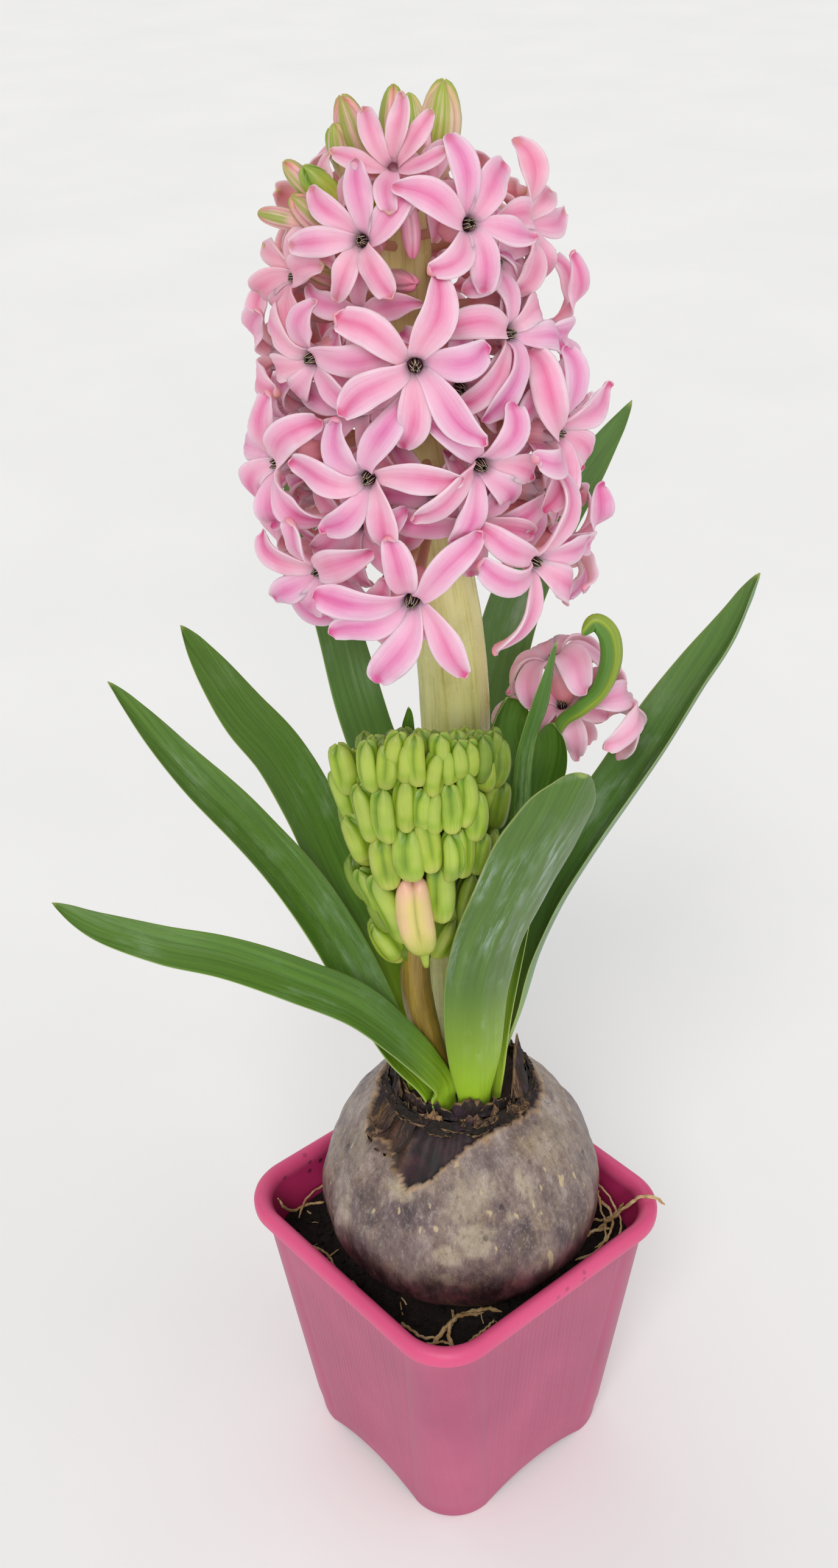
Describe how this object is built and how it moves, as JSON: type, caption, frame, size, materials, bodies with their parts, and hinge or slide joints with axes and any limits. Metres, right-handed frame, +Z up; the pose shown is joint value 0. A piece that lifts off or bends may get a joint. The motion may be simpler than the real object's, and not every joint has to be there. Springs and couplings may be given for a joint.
{
  "type": "potted hyacinth plant",
  "caption": "Forced hyacinth in full flower: a bulb half sunk in peat in a square ribbed plastic pot, with strap leaves, an open flower spike, a green bud spike and a small side spray.",
  "frame": {"origin": "on the table under the middle of the pot, at the pad in the middle of its foot", "axes": "+Z up along the plant; X and Y square to the pot's sides; the pictured side faces the pot's corner between +X and -Y"},
  "size_m": [0.0874, 0.1201, 0.3],
  "materials": {
    "pot_plastic": "satin",
    "peat_mix": "matte",
    "bulb_tunic": "satin",
    "dry_scales": "matte",
    "dry_roots": "matte",
    "stalk_green": "satin",
    "stalk_brown": "satin",
    "bud_green": "satin",
    "leaf_green": "satin",
    "tepal_pink": "satin",
    "bud_pink": "satin"
  },
  "bodies": {
    "root": {"bud_cluster": "bud_green", "bud_stalk": "stalk_brown", "bulb": "bulb_tunic", "floret_01": "tepal_pink", "floret_02": "tepal_pink", "floret_03": "tepal_pink", "floret_04": "tepal_pink", "floret_05": "tepal_pink", "floret_06": "tepal_pink", "floret_07": "tepal_pink", "floret_08": "tepal_pink", "floret_09": "tepal_pink", "floret_10": "tepal_pink", "floret_11": "tepal_pink", "floret_12": "tepal_pink", "floret_13": "tepal_pink", "floret_14": "tepal_pink", "floret_15": "tepal_pink", "floret_16": "tepal_pink", "floret_17": "tepal_pink", "floret_18": "tepal_pink", "floret_19": "tepal_pink", "floret_20": "tepal_pink", "floret_21": "tepal_pink", "floret_22": "tepal_pink", "floret_23": "tepal_pink", "floret_24": "tepal_pink", "floret_25": "tepal_pink", "floret_26": "tepal_pink", "floret_27": "tepal_pink", "floret_28": "tepal_pink", "floret_29": "tepal_pink", "floret_30": "tepal_pink", "floret_31": "tepal_pink", "leaf_broad_right": "leaf_green", "leaf_cupped_left": "leaf_green", "leaf_cupped_right": "leaf_green", "leaf_hooked": "leaf_green", "leaf_long_right": "leaf_green", "leaf_lower_left": "leaf_green", "leaf_mid_left": "leaf_green", "leaf_narrow_right": "leaf_green", "leaf_rear_left": "leaf_green", "leaf_rear_right": "leaf_green", "leaf_upper_left": "leaf_green", "main_stalk": "stalk_green", "neck_scales": "dry_scales", "pot": "pot_plastic", "potting_mix": "peat_mix", "root_front": "dry_roots", "root_right": "dry_roots", "side_floret_1": "tepal_pink", "side_floret_2": "tepal_pink", "side_floret_3": "tepal_pink", "side_stalk": "stalk_green", "top_bud_1": "bud_pink", "top_bud_2": "bud_pink", "top_bud_3": "bud_pink", "top_bud_4": "bud_pink", "top_bud_5": "bud_pink"}
  },
  "joints": []
}
